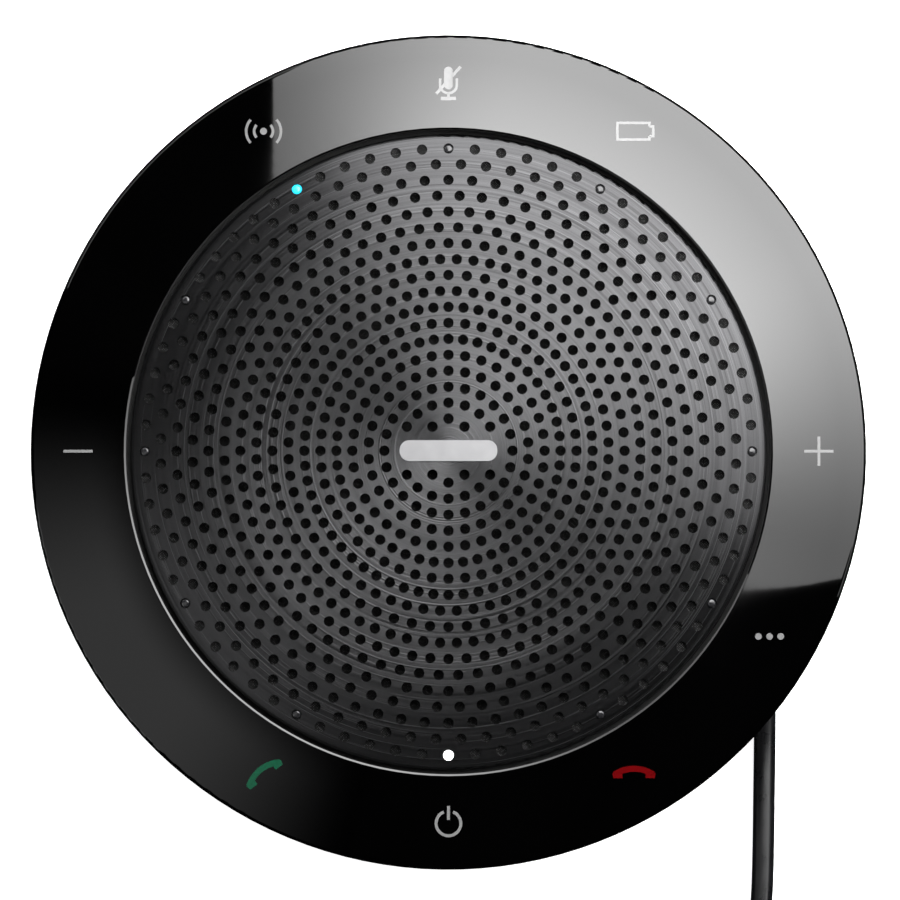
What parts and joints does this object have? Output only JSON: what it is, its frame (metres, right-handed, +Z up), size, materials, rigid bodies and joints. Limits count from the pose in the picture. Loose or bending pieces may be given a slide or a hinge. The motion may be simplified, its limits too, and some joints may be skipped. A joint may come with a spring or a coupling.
{
  "type": "conference speakerphone",
  "caption": "Round tabletop speakerphone with a domed perforated grille, a seamless glossy key ring, a cable groove round its waist and a coiled USB lead.",
  "frame": {"origin": "centre of the rest plane, under the middle of the round body", "axes": "+Z up, +Y towards the mute key, +X towards the volume up key"},
  "size_m": [0.12, 0.18, 0.033],
  "materials": {
    "gloss_black": "high-gloss black moulding with printed symbols",
    "print_pale": "pale grey symbols printed under the gloss",
    "print_red": "red symbol printed under the gloss",
    "print_green": "green symbol printed under the gloss",
    "grille_metal": "dark spun-finish perforated sheet",
    "badge_metal": "brushed, blank",
    "mesh_cloth": "black woven acoustic cloth",
    "light_clear": "unlit diffusing light pipe",
    "light_cyan": "lit cyan",
    "light_white": "lit white",
    "case_black": "fine-textured black moulding",
    "base_black": "fine-textured black moulding",
    "foot_rubber": "soft grey-black rubber",
    "frame_grey": "unpainted grey-black moulding",
    "screw_steel": "zinc-plated screws",
    "basket_steel": "black-painted pressed steel",
    "plate_steel": "zinc-plated steel",
    "magnet": "sintered ferrite",
    "coil_copper": "enamelled copper winding",
    "spider_cloth": "resin-treated corrugated cloth",
    "cone_paper": "coated paper cone",
    "surround_rubber": "butyl rubber half roll",
    "gasket_foam": "closed-cell foam",
    "mic_rubber": "silicone rubber boot",
    "mic_metal": "pressed capsule can",
    "board_green": "solder-masked circuit board",
    "switch_black": "tactile switch bodies",
    "led_body": "surface-mount light",
    "key_white": "natural moulded plunger",
    "ribbon_amber": "flexible polyimide cable",
    "chip_black": "moulded packages",
    "shield_tin": "tin-plated shield",
    "socket_cream": "connector housings",
    "battery_wrap": "shrink-wrapped lithium cell",
    "wire_red": "insulated wires",
    "jack_black": "moulded socket body",
    "cord_black": "satin black sheath",
    "tie_black": "hook-and-loop strap",
    "plug_black": "overmoulded plug grip",
    "plug_steel": "nickel-plated shell",
    "plug_white": "insulating tongue",
    "contact_gold": "gold-plated contacts"
  },
  "bodies": {
    "root": {"control_ring": "gloss_black", "grille": "grille_metal", "badge": "badge_metal", "acoustic_mesh": "mesh_cloth", "light_pipes": "light_clear", "wireless_light_pipe": "light_cyan", "power_light_pipe": "light_white", "housing": "case_black", "base_cover": "base_black", "foot_ring": "foot_rubber", "baffle": "frame_grey", "case_screws": "screw_steel", "frame_screws": "screw_steel", "ring_screws": "screw_steel", "driver_screws": "screw_steel", "board_screws": "screw_steel", "driver_basket": "basket_steel", "driver_top_plate": "plate_steel", "driver_magnet": "magnet", "driver_yoke": "plate_steel", "spider": "spider_cloth", "surround": "surround_rubber", "driver_gasket": "gasket_foam", "mic_boot": "mic_rubber", "mic_capsule": "mic_metal", "key_board": "board_green", "switch_bodies": "switch_black", "status_leds": "led_body", "key_ribbon": "ribbon_amber", "main_board": "board_green", "board_chips": "chip_black", "shield_can": "shield_tin", "board_sockets": "socket_cream", "battery_pack": "battery_wrap", "battery_leads": "wire_red", "speaker_leads": "wire_red", "headset_jack": "jack_black", "strain_relief": "cord_black", "lead_tail": "cord_black", "cord_lead": "cord_black", "cord_coil": "cord_black", "cord_tail": "cord_black", "cord_tie": "tie_black", "plug_body": "plug_black", "plug_shell": "plug_steel", "plug_tongue": "plug_white", "plug_contacts": "contact_gold"},
    "diaphragm": {"cone": "cone_paper", "dust_cap": "cone_paper", "voice_coil": "coil_copper"},
    "key_mute_plunger": {"key_mute": "key_white"},
    "key_battery_plunger": {"key_battery": "key_white"},
    "key_volume_up_plunger": {"key_volume_up": "key_white"},
    "key_shortcut_plunger": {"key_shortcut": "key_white"},
    "key_end_call_plunger": {"key_end_call": "key_white"},
    "key_power_plunger": {"key_power": "key_white"},
    "key_answer_plunger": {"key_answer": "key_white"},
    "key_volume_down_plunger": {"key_volume_down": "key_white"},
    "key_wireless_plunger": {"key_wireless": "key_white"}
  },
  "joints": [
    {"name": "cone_slide", "type": "slide", "parent": "root", "child": "diaphragm", "axis": [0, 0, 1], "range_m": [-0.001, 0.001], "stiffness_N_per_m": 1200},
    {"name": "key_mute_press", "type": "slide", "parent": "root", "child": "key_mute_plunger", "axis": [0, 0, -1], "range_m": [0, 0.00025], "stiffness_N_per_m": 6400},
    {"name": "key_battery_press", "type": "slide", "parent": "root", "child": "key_battery_plunger", "axis": [0, 0, -1], "range_m": [0, 0.00025], "stiffness_N_per_m": 6400},
    {"name": "key_volume_up_press", "type": "slide", "parent": "root", "child": "key_volume_up_plunger", "axis": [0, 0, -1], "range_m": [0, 0.00025], "stiffness_N_per_m": 6400},
    {"name": "key_shortcut_press", "type": "slide", "parent": "root", "child": "key_shortcut_plunger", "axis": [0, 0, -1], "range_m": [0, 0.00025], "stiffness_N_per_m": 6400},
    {"name": "key_end_call_press", "type": "slide", "parent": "root", "child": "key_end_call_plunger", "axis": [0, 0, -1], "range_m": [0, 0.00025], "stiffness_N_per_m": 6400},
    {"name": "key_power_press", "type": "slide", "parent": "root", "child": "key_power_plunger", "axis": [0, 0, -1], "range_m": [0, 0.00025], "stiffness_N_per_m": 6400},
    {"name": "key_answer_press", "type": "slide", "parent": "root", "child": "key_answer_plunger", "axis": [0, 0, -1], "range_m": [0, 0.00025], "stiffness_N_per_m": 6400},
    {"name": "key_volume_down_press", "type": "slide", "parent": "root", "child": "key_volume_down_plunger", "axis": [0, 0, -1], "range_m": [0, 0.00025], "stiffness_N_per_m": 6400},
    {"name": "key_wireless_press", "type": "slide", "parent": "root", "child": "key_wireless_plunger", "axis": [0, 0, -1], "range_m": [0, 0.00025], "stiffness_N_per_m": 6400}
  ]
}
